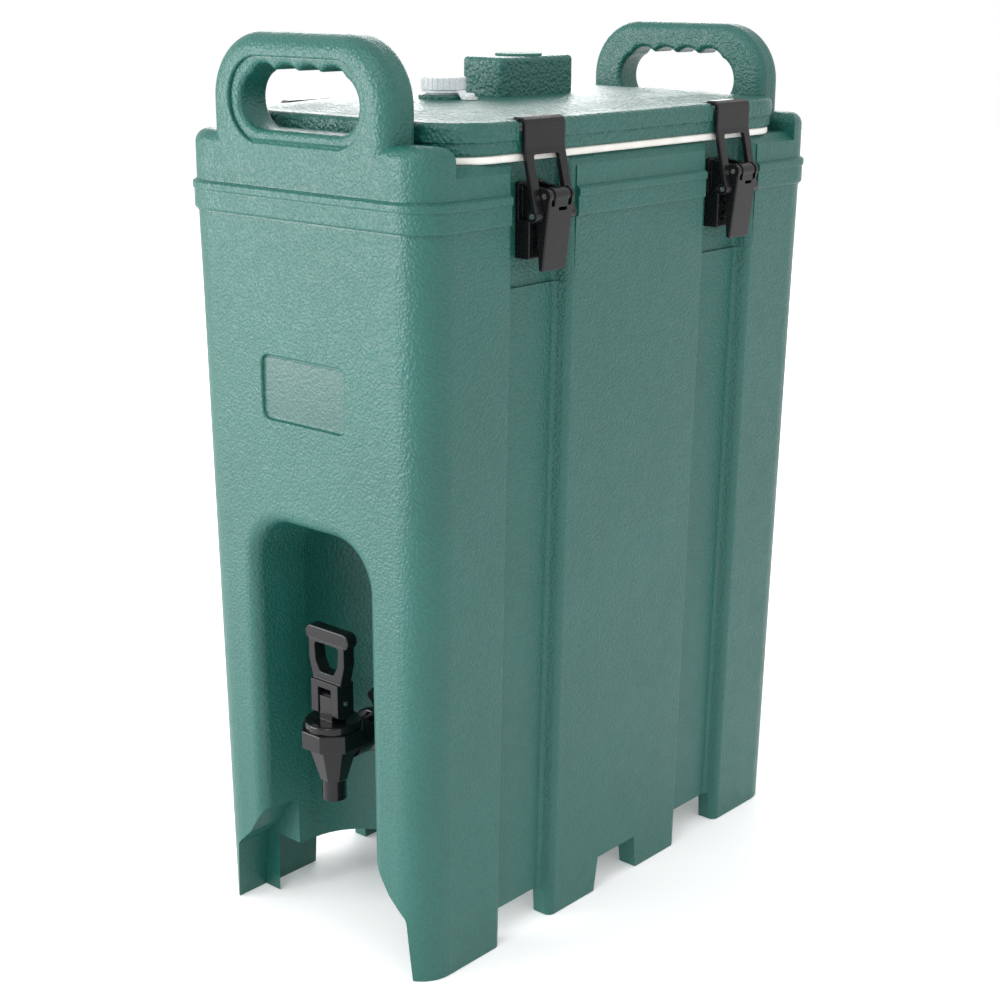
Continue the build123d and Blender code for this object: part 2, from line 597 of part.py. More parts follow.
def latch_base():
    """Nylon bracket: a plate and a raised foot screwed to the body, and two lugs for the fixed pin."""
    plate = block((POCKET_X, POCKET_X + 2.6), (-BASE_HALF_Y, BASE_HALF_Y), (BASE_LOW_Z, 532.0))
    plate = fillet(plate.edges().filter_by(Axis.X), 2.0)
    foot = block((POCKET_X, BASE_FOOT_X), (-BASE_HALF_Y, BASE_HALF_Y), (BASE_LOW_Z, 508.0))
    outer = foot.faces().sort_by(Axis.X)[-1].edges()
    plate += fillet(outer, 1.0)
    pivot_x, pivot_z = LEVER_PIVOT
    web = [(POCKET_X + 1, 508), (POCKET_X + 6, 511), (pivot_x - 2.0, pivot_z - 3.9),
           (pivot_x + 1, pivot_z - 4), (pivot_x + 2, pivot_z + 3.6), (pivot_x - 1.0, pivot_z + 4.3),
           (POCKET_X + 1, 531)]
    for sign in (1, -1):
        low, high = sorted((sign * 6.6, sign * 9.6))
        plate += side_profile(web, low, high)
        plate += rod_y(4.4, low, high, pivot_x, pivot_z)
    plate -= rod_y(PIN_R, -12, 12, pivot_x, pivot_z)
    for z in LATCH_SCREW_Z:
        plate -= rod_x(2.1, POCKET_X - 1, BASE_FOOT_X + 1, 0, z)
    return plate


def latch_lever():
    """Over-centre lever: a channel with hinge knuckles at its top."""
    pivot_x, pivot_z = LEVER_PIVOT
    arm_x, arm_z = ARM_PIVOT
    tip_z = 477.0
    outline = [(pivot_x + 5.0, pivot_z), (120.6, tip_z), (117.4, tip_z + 0.6),
               (arm_x - 3.8, arm_z - 1), (pivot_x - 5.0, pivot_z)]
    lever = side_profile(outline, -LEVER_HALF_Y, LEVER_HALF_Y)
    lever += rod_y(5.2, -LEVER_HALF_Y, LEVER_HALF_Y, pivot_x, pivot_z)
    lever += rod_y(4.2, -LEVER_HALF_Y, LEVER_HALF_Y, arm_x, arm_z)
    hollow = [(pivot_x + 2.2, pivot_z - 7.0), (118.2, tip_z + 2.2), (100.0, tip_z + 2.2), (100.0, 519.0),
              (pivot_x - 5.0, pivot_z - 7.0)]
    lever -= side_profile(hollow, -9.9, 9.9)
    for sign in (1, -1):
        low, high = sorted((sign * 6.2, sign * 10.0))
        lever -= block((100, 140), (low, high), (pivot_z - 6.2, pivot_z + 8))
        inner_low, inner_high = sorted((sign * 6.2, sign * 9.9))
        lever -= block((100, pivot_x + 1), (inner_low, inner_high), (500, pivot_z))
    lever -= rod_y(PIN_R + PIN_GAP, -14, 14, pivot_x, pivot_z)
    lever -= rod_y(PIN_R, -14, 14, arm_x, arm_z)
    slot = block((110, 135), (-2.2, 6.0), (515.0, 517.4))
    lever -= slot & side_profile([(120.8, 480), (120.8, 522), (135, 522), (135, 480)], -8, 8)
    long_edges = lever.edges().filter_by(
        lambda edge: edge.length > 20 and abs(edge.center().Y) > LEVER_HALF_Y - 0.1)
    return fillet(long_edges, LEVER_EDGE_R)


def hook_arm():
    """Hook arm: lip over the lid's edge, solid upper plate, window and two legs down to the arm pin."""
    arm_x, arm_z = ARM_PIVOT
    outline = [(101.6, 569.6), (102.4, 572.6), (108.6, 572.6), (111.2, 571.2), (112.2, 568.4),
               (112.2, 553.5), (arm_x + 3.0, arm_z + 2), (arm_x - 0.4, arm_z + 0.6),
               (109.0, 552.8), (109.0, 569.2), (108.2, 569.6)]
    arm = side_profile(outline, -HOOK_HALF_Y, HOOK_HALF_Y)
    arm += rod_y(4.0, -HOOK_HALF_Y, HOOK_HALF_Y, arm_x, arm_z)
    window = block((100, 130), (-12.6, 12.6), (500, 549.5))
    window = fillet(window.edges().filter_by(Axis.X).group_by(Axis.Z)[-1], 2.0)
    arm -= window
    arm -= rod_y(PIN_R + PIN_GAP, -24, 24, arm_x, arm_z)

    def on_side(edge):
        centre = edge.center()
        return (abs(abs(centre.Y) - HOOK_HALF_Y) < 0.05 and edge.length > 2.5
                and edge.geom_type == GeomType.LINE and centre.Z > arm_z + 2)
    return fillet(arm.edges().filter_by(on_side), HOOK_EDGE_R)


def latch_pin(pivot, half_length):
    return rod_y(PIN_R, -half_length, half_length, pivot[0], pivot[1])


def latch_screws():
    """Two pan-head screws that hold one base to the body."""
    screws = []
    for z in LATCH_SCREW_Z:
        shank = rod_x(1.75, 87.5, BASE_FOOT_X, 0, z)
        head = rod_x(3.6, BASE_FOOT_X, BASE_FOOT_X + 2.0, 0, z)
        head = fillet(head.edges().sort_by(Axis.X)[-1], 0.9)
        screws.append(shank + head)
    return screws


# ---------------------------------------------------------------- faucet
def octagon_prism(flat_low, flat_high, z_low, z_high):
    """Eight-sided column about the faucet's axis; sizes are half across the flats."""
    def plan(flat, z):
        corner = flat / math.cos(math.radians(22.5))
        return Pos(0, FAUCET_Y, z) * Rot(0, 0, 22.5) * RegularPolygon(corner, 8)
    return loft([plan(flat_low, z_low), plan(flat_high, z_high)], ruled=True)


def faucet_body():
    """Faucet body: spout, eight-sided cup, and the horizontal shank through the body wall."""
    body = disc(8.6, 104.0, 122.0, 0, FAUCET_Y)
    taper = octagon_prism(9.2, 16.8, 119.0, 146.0)
    taper_edges = taper.edges().filter_by(lambda edge: edge.bounding_box().size.Z > 5)
    body += fillet(taper_edges, 1.5)
    collar = octagon_prism(21.0, 21.0, 145.0, 158.0)
    body += fillet(collar.edges(), 1.0)
    shank = rod_y(SHANK_R, FAUCET_Y + 8, -78.0, 0, SHANK_Z)
    body += shank
    body += rod_y(13.4, FAUCET_Y + 14, FAUCET_Y + 26, 0, SHANK_Z)
    body -= disc(12.6, 145.0, 160.0, 0, FAUCET_Y)
    body -= disc(10.6, 129.0, 146.0, 0, FAUCET_Y)
    body -= disc(5.6, 100.0, 130.0, 0, FAUCET_Y)
    body -= rod_y(6.5, FAUCET_Y + 4, -70.0, 0, SHANK_Z)
    return body


def faucet_bonnet():
    """Bonnet: a round top plate screwed into the body, and the neck that carries the handle."""
    bonnet = disc(19.6, 158.0, 163.5, 0, FAUCET_Y)
    bonnet = fillet(bonnet.edges().group_by(Axis.Z)[-1], 1.5)
    bonnet += disc(12.5, 151.0, 158.0, 0, FAUCET_Y)
    bonnet += block((-6.0, 6.0), (FAUCET_Y - 6.5, FAUCET_Y + 6.5), (163.0, 181.0))
    bonnet = bonnet + rod_x(6.5, -6.0, 6.0, FAUCET_Y, HANDLE_PIN_Z)
    bonnet -= disc(STEM_R + 0.1, 150.0, 190.0, 0, FAUCET_Y)
    bonnet -= rod_x(PIN_R, -8, 8, FAUCET_Y, HANDLE_PIN_Z)
    return bonnet


def faucet_handle():
    """Loop handle: forked foot over the neck, sloped shoulders, two legs and a top bar."""
    def front_view(points, depth):
        face = make_face(Plane.XZ * Polyline(*points, close=True))
        return Pos(0, FAUCET_Y, 0) * extrude(face, depth, both=True)
    foot = block((-13.0, 13.0), (FAUCET_Y - 7.5, FAUCET_Y + 7.5), (166.5, 192.0))
    foot &= rod_x(11.6, -14, 14, FAUCET_Y, HANDLE_PIN_Z) + block((-14, 14), (FAUCET_Y - 8, FAUCET_Y + 8),
                                                                (HANDLE_PIN_Z, 193))
    roof = front_view([(-13, 190), (13, 190), (17.2, 206), (17.2, 220), (-17.2, 220), (-17.2, 206)], 5.0)
    opening = front_view([(-6.4, 197.5), (6.4, 197.5), (10.6, 205), (11.8, 218.5), (-11.8, 218.5),
                          (-10.6, 205)], 12.0)
    opening = fillet(opening.edges().filter_by(Axis.Y), 2.6)
    bar = Pos(0, FAUCET_Y, 223.8) * Rot(90, 0, 0) * extrude(RectangleRounded(42, 11.4, 5.6), 4.6, both=True)
    bar = fillet(bar.edges().filter_by(lambda edge: abs(edge.center().Y - FAUCET_Y) > 4.5), 1.0)
    handle = foot + (roof - opening) + bar
    handle -= block((-6.4, 6.4), (FAUCET_Y - 20, FAUCET_Y + 20), (160, 187.5))
    handle -= rod_x(PIN_R + PIN_GAP, -20, 20, FAUCET_Y, HANDLE_PIN_Z)

    def on_leg(edge):
        centre = edge.center()
        return edge.length > 6 and centre.Z < 218 and abs(abs(centre.Y - FAUCET_Y) - 5) < 0.05
    return fillet(handle.edges().filter_by(on_leg), 0.5)


def faucet_stem():
    """Rod from the seat cup up through the bonnet."""
    return disc(STEM_R, 131.0, STEM_TOP_Z, 0, FAUCET_Y)


def seat_cup():
    """Silicone cup on the foot of the stem that closes the outlet."""
    cup = disc(8.2, 129.0, 136.0, 0, FAUCET_Y)
    cup = fillet(cup.edges().group_by(Axis.Z)[-1], 2.0)
    return cup - disc(STEM_R, 131.0, 140.0, 0, FAUCET_Y)


def return_spring():
    """Compression spring round the stem that holds the seat cup down."""
    wire_r = 0.6
    coil = Helix(pitch=3.0, height=12.6, radius=4.6)
    wire = sweep(Plane(coil @ 0, z_dir=coil % 0) * Circle(wire_r), path=coil)
    return Pos(0, FAUCET_Y, 137.2) * wire


def hex_ring(radius, hole, y_low, y_high):
    """Six-sided nut on the shank."""
    face = Plane.XZ * Pos(0, SHANK_Z) * (RegularPolygon(radius, 6) - Circle(hole))
    return Pos(0, y_high, 0) * extrude(face, y_high - y_low, dir=(0, -1, 0))


def ring_nut():
    """Round collar that locks the faucet's upright position on the shank."""
    ring = rod_y(15.8, -157.0, -150.5, 0, SHANK_Z)
    ring = fillet(ring.edges().filter_by(GeomType.CIRCLE), 1.4)
    return ring - rod_y(SHANK_R, -160, -140, 0, SHANK_Z)


def wing_nut():
    """Hand nut with four broad wings that clamps the faucet to the niche wall."""
    y_low, y_high = -137.0, -124.4
    nut = rod_y(17.0, y_low, y_high, 0, SHANK_Z)
    nut += rod_y(21.0, y_high - 3.0, y_high, 0, SHANK_Z)
    wing = block((14.0, 27.0), (y_low - 1.5, y_high - 4), (SHANK_Z - 3.0, SHANK_Z + 3.0))
    wing = fillet(wing.edges().filter_by(Axis.Z).group_by(Axis.X)[-1], 3.0)
    for turn in range(4):
        nut += Pos(0, 0, SHANK_Z) * Rot(0, 45 + 90 * turn, 0) * Pos(0, 0, -SHANK_Z) * wing
    return nut - rod_y(SHANK_R, -150, -120, 0, SHANK_Z)


def shank_washer(y_low, y_high, radius):
    return rod_y(radius, y_low, y_high, 0, SHANK_Z) - rod_y(SHANK_R, y_low - 1, y_high + 1, 0, SHANK_Z)


def save(name, *solids):
    """Write one node: one solid, or a group of identical ones."""
    shape = solids[0] if len(solids) == 1 else Compound(children=list(solids))
    export_step(shape, f"parts/{name}.step")


def save_body():
    moulding, core = body_shell_and_core()
    shell, liner, grips = split_moulding(moulding)
    save("body_shell", shell)
    save("tank_liner", liner)
    save("end_grip_front", grips[0])
    save("end_grip_rear", grips[1])
    save("body_foam_core", core)
    save("body_foam_plugs", *foam_plugs())


def save_lid():
    shell, core = lid_shell_and_core()
    save("lid_shell", shell)
    save("lid_foam_core", core)
    save("lid_foam_plug", lid_foam_plug())
    save("lid_gasket", lid_gasket())
    save("vent_neck", vent_neck())
    save("vent_tether", vent_tether())
    save("tether_anchor", tether_anchor())
    save("vent_cap", vent_cap())
    save("vent_washer", vent_washer())


def save_latches():
    for side_name, side in SIDES.items():
        for end_name, end in ENDS.items():
            place = f"{end_name}_{side_name}"
            y = end * LATCH_Y
            pieces = {
                "latch_base": [latch_base()],
                "latch_screws": latch_screws(),
                "latch_fixed_pin": [latch_pin(LEVER_PIVOT, 12.35)],
                "latch_lever": [latch_lever()],
                "latch_arm_pin": [latch_pin(ARM_PIVOT, 20.4)],
                "hook_arm": [hook_arm()],
            }
            for name, shapes in pieces.items():
                save(f"{name}_{place}", *[latch_place(shape, side, y) for shape in shapes])


def save_faucet():
    save("faucet_body", faucet_body())
    save("faucet_bonnet", faucet_bonnet())
    save("faucet_handle", faucet_handle())
    save("faucet_handle_pin", rod_x(PIN_R, -13.6, 13.6, FAUCET_Y, HANDLE_PIN_Z))
    save("faucet_stem", faucet_stem())
    save("faucet_seat_cup", seat_cup())
    save("faucet_spring", return_spring())
    save("faucet_ring_nut", ring_nut())
    save("faucet_wing_nut", wing_nut())
    save("faucet_outer_washer", shank_washer(-124.4, NICHE_AXIS_Y + NICHE_R, 18.0))
    save("faucet_inner_washer", shank_washer(TANK_LOW_Y[0], TANK_LOW_Y[0] + 2.4, 16.0))
    save("faucet_tank_nut", hex_ring(16.5, SHANK_R, TANK_LOW_Y[0] + 2.4, TANK_LOW_Y[0] + 10.0))


if __name__ == "__main__":
    os.makedirs("parts", exist_ok=True)
    save_body()
    save_lid()
    save_latches()
    save_faucet()
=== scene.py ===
# %% [markdown]
# # An insulated drinks carrier
# The carrier is a double-wall polyethylene moulding, two end handles, a clamped lid with a vent, four black
# nylon draw latches and a glossy faucet in a niche. Its shape and its moving parts come from the CAD frame.
# This file adds what the frame doesn't hold: a camera, light, a floor and a real finish for every part. The
# first cell loads the frame.

# %% Load the frame
import json
import math
import bmesh
import bpy
from mathutils import Matrix, Vector

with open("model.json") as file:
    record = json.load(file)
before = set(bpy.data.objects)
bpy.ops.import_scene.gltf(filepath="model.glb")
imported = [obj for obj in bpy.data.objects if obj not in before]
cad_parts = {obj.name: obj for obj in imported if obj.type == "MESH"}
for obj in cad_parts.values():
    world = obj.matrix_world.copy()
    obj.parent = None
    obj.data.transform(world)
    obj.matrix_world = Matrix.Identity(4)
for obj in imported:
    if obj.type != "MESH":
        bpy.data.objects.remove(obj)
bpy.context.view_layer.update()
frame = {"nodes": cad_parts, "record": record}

nodes = frame["nodes"]

# %% [markdown]
# ## Camera
# A long lens from a little above the lid shows the front and one long side, and keeps the uprights almost
# parallel, as in a catalogue view. The camera is built from three angles: its heading round the carrier, its
# pitch, and a trace of roll. Columns of a rotation matrix are easier to get right than Euler angles here.

# %% Camera
CAMERA_PLACE = Vector((0.8466, -0.9870, 0.6580))
CAMERA_HEADING = math.radians(41.118)
CAMERA_PITCH = math.radians(16.262)
CAMERA_ROLL = math.radians(0.304)
CAMERA_LENS = 65.07
SENSOR_WIDTH = 36.0
CAMERA_REACH = 20.0


def camera_axes(heading, pitch, roll):
    """Right, up and backward directions of a camera that looks at the carrier from a heading and pitch."""
    back = Vector((math.sin(heading) * math.cos(pitch), -math.cos(heading) * math.cos(pitch),
                   math.sin(pitch)))
    level = Vector((math.cos(heading), math.sin(heading), 0.0))
    upward = back.cross(level)
    right = level * math.cos(roll) + upward * math.sin(roll)
    up = upward * math.cos(roll) - level * math.sin(roll)
    return right, up, back


camera_data = bpy.data.cameras.new("catalogue_camera")
camera_data.lens = CAMERA_LENS
camera_data.sensor_width = SENSOR_WIDTH
camera_data.clip_end = CAMERA_REACH
camera = bpy.data.objects.new("catalogue_camera", camera_data)
bpy.context.scene.collection.objects.link(camera)
camera.matrix_world = Matrix.Translation(CAMERA_PLACE) @ Matrix(
    camera_axes(CAMERA_HEADING, CAMERA_PITCH, CAMERA_ROLL)).transposed().to_4x4()
bpy.context.scene.camera = camera
print("camera at", [round(value, 3) for value in CAMERA_PLACE])

# %% [markdown]
# ## Light and floor
# The studio is a white room. A large key panel stands low at the faucet side, so that the face glows and its
# grain mirrors the panel. A second panel stands behind the lid and glances off it. A small warm one picks out
# the latches, and a high one catches the rounded shoulders and grips. The floor is one pale sheet.

# %% Light and floor
WHITE = (1.0, 1.0, 1.0)
WARM_WHITE = (1.0, 0.97, 0.92)
LOW_TARGET = (0.0, 0.0, 0.22)
MIDDLE = (0.0, 0.0, 0.32)
ROOM_STRENGTH = 1.0
FLOOR_HALF = 6.0

scene = bpy.context.scene
scene.view_settings.view_transform = "Standard"


def area_light(name, place, target, size, power, tint=WHITE):
    """A square soft panel at a place, turned to face a target."""
    data = bpy.data.lights.new(name, "AREA")
    data.size = size
    data.energy = power
    data.color = tint
    light = bpy.data.objects.new(name, data)
    scene.collection.objects.link(light)
    light.location = place
    light.rotation_euler = (Vector(target) - Vector(place)).to_track_quat("-Z", "Y").to_euler()
    return light


area_light("key_panel", (-1.5, -2.2, 0.45), LOW_TARGET, 1.7, 78.0)
area_light("lid_panel", (-1.9, 2.2, 1.25), MIDDLE, 1.6, 34.0)
area_light("latch_panel", (2.2, -1.0, 2.0), MIDDLE, 0.7, 4.0, WARM_WHITE)
area_light("high_panel", (0.5, -1.9, 2.5), MIDDLE, 0.9, 20.0)

world = bpy.data.worlds.new("white_room")
world.use_nodes = True
background = world.node_tree.nodes["Background"]
background.inputs["Color"].default_value = WHITE + (1.0,)
background.inputs["Strength"].default_value = ROOM_STRENGTH
scene.world = world

floor_mesh = bmesh.new()
bmesh.ops.create_grid(floor_mesh, x_segments=1, y_segments=1, size=FLOOR_HALF)
floor_data = bpy.data.meshes.new("floor_sheet")
floor_mesh.to_mesh(floor_data)
floor_mesh.free()
floor = bpy.data.objects.new("floor_sheet", floor_data)
scene.collection.objects.link(floor)

# %% [markdown]
# ## Shader tools
# Every finish is a small node tree. These helpers add a node, fill its inputs and build a group with named
# sockets, so that a recipe reads as a list of steps. An effect that several finishes share, such as pebble
# grain or the edge mask for rubbed edges and painted edge highlights, is one group, placed with its own
# values in each material.

# %% Shader tools
def add(tree, kind, **settings):
    """One shader node, with its properties set by name."""
    node = tree.nodes.new(kind)
    for key, value in settings.items():
        setattr(node, key, value)
    return node


def feed(tree, sockets):
    """Links or sets inputs: {(node, input name): output socket or plain value}."""
    for (node, name), value in sockets.items():
        socket = node.inputs[name]
        if isinstance(value, bpy.types.NodeSocket):
            tree.links.new(value, socket)
        else:
            socket.default_value = value


def new_group(name, inputs, outputs):
    """An empty shader group with named sockets: {name: (socket type, default)}."""
    group = bpy.data.node_groups.new(name, "ShaderNodeTree")
    for label, (kind, default) in inputs.items():
        group.interface.new_socket(name=label, in_out="INPUT", socket_type=kind).default_value = default
    for label, kind in outputs.items():
        group.interface.new_socket(name=label, in_out="OUTPUT", socket_type=kind)
    return group, add(group, "NodeGroupInput"), add(group, "NodeGroupOutput")


FLOAT = "NodeSocketFloat"
VECTOR = "NodeSocketVector"


def opaque(color, factor=1.0):
    """The colour, made darker by a factor, as four channels."""
    return tuple(channel * factor for channel in color[:3]) + (1.0,)


def math_node(tree, operation, first, second=None, clamp=False):
    """A Math node and its output."""
    node = add(tree, "ShaderNodeMath", operation=operation, use_clamp=clamp)
    for socket, value in zip(node.inputs, (first, second)):
        if isinstance(value, bpy.types.NodeSocket):
            tree.links.new(value, socket)
        elif value is not None:
            socket.default_value = value
    return node.outputs[0]


def remap(tree, value, from_low, from_high, to_low, to_high):
    """A clamped linear remap of a mask."""
    node = add(tree, "ShaderNodeMapRange")
    feed(tree, {(node, "Value"): value, (node, "From Min"): from_low, (node, "From Max"): from_high,
                (node, "To Min"): to_low, (node, "To Max"): to_high})
    return node.outputs["Result"]


def blend_color(tree, factor, first, second):
    """A colour mix and its output."""
    node = add(tree, "ShaderNodeMix", data_type="RGBA")
    for index, value in ((0, factor), (6, first), (7, second)):
        if isinstance(value, bpy.types.NodeSocket):
            tree.links.new(value, node.inputs[index])
        else:
            node.inputs[index].default_value = value
    return node.outputs[2]


print("shader tools ready")

# %% [markdown]
# ### Pebble grain
# Rotational moulds are shot-blasted or acid-etched, so the plastic comes out with rounded pebbles about a
# millimetre wide. Cells from a smooth Voronoi give the pebbles, and a little noise bends them out of line.
# A second, finer octave keeps close-ups from looking like scales.

# %% Pebble grain group
def pebble_grain_group():
    """Rounded pebbles with a finer grain on top: their height, and a mask of the valleys between them."""
    group, source, sink = new_group(
        "pebble_grain",
        {"Size": (FLOAT, 0.0014), "Softness": (FLOAT, 0.5)},
        {"Height": FLOAT, "Valleys": FLOAT})
    place = add(group, "ShaderNodeTexCoord")
    density = math_node(group, "DIVIDE", 1.0, source.outputs["Size"])
    wander = add(group, "ShaderNodeTexNoise")
    feed(group, {(wander, "Vector"): place.outputs["Object"], (wander, "Scale"): density,
                 (wander, "Detail"): 2.0, (wander, "Roughness"): 0.6})
    bent = add(group, "ShaderNodeVectorMath", operation="SCALE")
    feed(group, {(bent, "Vector"): wander.outputs["Color"]})
    group.links.new(math_node(group, "MULTIPLY", source.outputs["Size"], 0.9), bent.inputs["Scale"])
    moved = add(group, "ShaderNodeVectorMath", operation="ADD")
    group.links.new(place.outputs["Object"], moved.inputs[0])
    group.links.new(bent.outputs[0], moved.inputs[1])
    cells = add(group, "ShaderNodeTexVoronoi", feature="SMOOTH_F1")
    feed(group, {(cells, "Vector"): moved.outputs[0], (cells, "Scale"): density,
                 (cells, "Smoothness"): source.outputs["Softness"]})
    pebble = remap(group, cells.outputs["Distance"], 0.1, 0.75, 1.0, 0.0)
    fine = add(group, "ShaderNodeTexNoise")
    feed(group, {(fine, "Vector"): place.outputs["Object"],
                 (fine, "Scale"): math_node(group, "MULTIPLY", density, 2.4), (fine, "Detail"): 2.0})
    mixed = math_node(group, "ADD", math_node(group, "MULTIPLY", pebble, 0.75),
                      math_node(group, "MULTIPLY", fine.outputs["Fac"], 0.25))
    feed(group, {(sink, "Height"): mixed, (sink, "Valleys"): math_node(group, "SUBTRACT", 1.0, pebble)})
    return group


PEBBLE_GRAIN = pebble_grain_group()
print("group", PEBBLE_GRAIN.name)

# %% [markdown]
# ### Tone drift
# Moulded colour is never quite even: the resin lies thicker in places and the skin is more or less polished.
# Two fields of soft noise, one a hand wide and one a finger wide, give masks that shift colour and gloss.

# %% Tone drift group
def tone_drift_group():
    """Two masks of soft noise: broad patches, and narrow ones a ninth as wide."""
    group, source, sink = new_group(
        "tone_drift", {"Patch Size": (FLOAT, 0.12)}, {"Broad": FLOAT, "Narrow": FLOAT})
    place = add(group, "ShaderNodeTexCoord")
    density = math_node(group, "DIVIDE", 1.0, source.outputs["Patch Size"])
    broad = add(group, "ShaderNodeTexNoise")
    feed(group, {(broad, "Vector"): place.outputs["Object"], (broad, "Scale"): density,
                 (broad, "Detail"): 3.0})
    narrow = add(group, "ShaderNodeTexNoise")
    feed(group, {(narrow, "Vector"): place.outputs["Object"],
                 (narrow, "Scale"): math_node(group, "MULTIPLY", density, 9.0),
                 (narrow, "Detail"): 4.0})
    feed(group, {(sink, "Broad"): remap(group, broad.outputs["Fac"], 0.3, 0.7, 0.0, 1.0),
                 (sink, "Narrow"): remap(group, narrow.outputs["Fac"], 0.3, 0.7, 0.0, 1.0)})
    return group


TONE_DRIFT = tone_drift_group()
print("group", TONE_DRIFT.name)

# %% [markdown]
# ### Rubbed edges and painted edge highlights
# Edges of plastic and metal are handled most, so their skin is smoother; on the green plastic this edge mask
# deepens the colour and smooths the grain, and on the small hard parts it paints a paler highlight along the
# edges. A Bevel node turns the normal near an edge; how far it turns is a mask that is strongest on the edge.
# Noise breaks it up. The turned normal is handed on as well: on small hard parts it rounds the edges as a
# mould does.

# %% Edge wear and highlight group
def edge_wear_and_highlight_group():
    """A broken-up mask of the edges, and the normal rounded over them."""
    group, source, sink = new_group(
        "edge_wear_and_highlight", {"Width": (FLOAT, 0.0015), "Breakup": (FLOAT, 0.6)},
        {"Mask": FLOAT, "Soft Normal": VECTOR})
    rounded = add(group, "ShaderNodeBevel", samples=4)
    group.links.new(source.outputs["Width"], rounded.inputs["Radius"])
    flat = add(group, "ShaderNodeNewGeometry")
    facing = add(group, "ShaderNodeVectorMath", operation="DOT_PRODUCT")
    group.links.new(rounded.outputs[0], facing.inputs[0])
    group.links.new(flat.outputs["Normal"], facing.inputs[1])
    turned = remap(group, facing.outputs["Value"], 0.99, 0.80, 0.0, 1.0)
    place = add(group, "ShaderNodeTexCoord")
    chips = add(group, "ShaderNodeTexNoise")
    feed(group, {(chips, "Vector"): place.outputs["Object"], (chips, "Scale"): 180.0,
                 (chips, "Detail"): 4.0})
    kept = remap(group, chips.outputs["Fac"], 0.35, 0.65, 0.0, 1.0)
    even = math_node(group, "SUBTRACT", 1.0, source.outputs["Breakup"])
    share = math_node(group, "ADD", even, math_node(group, "MULTIPLY", kept, source.outputs["Breakup"]))
    feed(group, {(sink, "Mask"): math_node(group, "MULTIPLY", turned, share, clamp=True),
                 (sink, "Soft Normal"): rounded.outputs[0]})
    return group


EDGE_WEAR_AND_HIGHLIGHT = edge_wear_and_highlight_group()
print("group", EDGE_WEAR_AND_HIGHLIGHT.name)

# %% [markdown]
# ## Material tools
# Three more helpers start a material with one Principled shader, place a shared group in it, and add a bump.
# Values that don't vary sit on the shader's own sockets, so that an export can read them without baking.

# %% Material tools
def new_material(name, roughness, metallic=0.0, specular=0.5, ior=1.5):
    """A material with one Principled shader; constant values sit on the shader's own sockets."""
    material = bpy.data.materials.new(name)
    material.use_nodes = True
    shader = material.node_tree.nodes["Principled BSDF"]
    feed(material.node_tree, {(shader, "Roughness"): roughness, (shader, "Metallic"): metallic,
                              (shader, "Specular IOR Level"): specular, (shader, "IOR"): ior})
    return material, material.node_tree, shader


def place_group(tree, group, **values):
    """A group node in a material, with its inputs set by name (underscores stand for spaces)."""
    node = add(tree, "ShaderNodeGroup", node_tree=group)
    for key, value in values.items():
        node.inputs[key.replace("_", " ")].default_value = value
    return node


def bump(tree, shader, height, strength, distance, normal=None):
    """A Bump node into the shader's normal, on top of an optional softened normal."""
    node = add(tree, "ShaderNodeBump")
    if normal is not None:
        tree.links.new(normal, node.inputs["Normal"])
    feed(tree, {(node, "Strength"): strength, (node, "Distance"): distance, (node, "Height"): height,
                (shader, "Normal"): node.outputs["Normal"]})
    return node


print("material tools ready")

# %% [markdown]
# ## Green polyethylene
# The shell and lid are forest green. The pebbles catch the light on their tops, and the valleys between them
# get painted shade, a darker green in the colour; smooth rubbed edges look deeper and glossier. The grain is
# coarsest on the lid and fades towards the feet, where the mould has smoothed with wear. The label recess on
# the front is polished, so it has almost no pebbles and is glossier, and its colour is darkened with painted
# shade. The end grips meet the end walls in a level joint, but the real moulding is one piece, so the edge
# mask is faded out at that height; otherwise the joint would show as a line.

# %% Green polyethylene
GRIP_JOINT_Z = 0.553
JOINT_FADE = 0.0045
RECESS_CENTRE = (-0.0005, -0.2100, 0.3955)
RECESS_HALF = (0.0372, 0.0060, 0.0202)
SMOOTH_BELOW_Z = 0.05
FULL_GRAIN_Z = 0.36
FOOT_GRAIN = 0.35


def label_recess_group():
    """A mask of the label recess's box, and the height above the floor."""
    group, source, sink = new_group("label_recess", {"Fade": (FLOAT, 0.0006)},
                                    {"Inside": FLOAT, "Height": FLOAT})
    place = add(group, "ShaderNodeTexCoord")
    parts = add(group, "ShaderNodeSeparateXYZ")
    group.links.new(place.outputs["Object"], parts.inputs[0])
    inside = None
    for axis, centre, half in zip("XYZ", RECESS_CENTRE, RECESS_HALF):
        away = math_node(group, "ABSOLUTE", math_node(group, "SUBTRACT", parts.outputs[axis], centre))
        depth = math_node(group, "SUBTRACT", half, away)
        share = math_node(group, "DIVIDE", depth, source.outputs["Fade"], clamp=True)
        inside = share if inside is None else math_node(group, "MULTIPLY", inside, share)
    feed(group, {(sink, "Inside"): inside, (sink, "Height"): parts.outputs["Z"]})
    return group


LABEL_RECESS = label_recess_group()


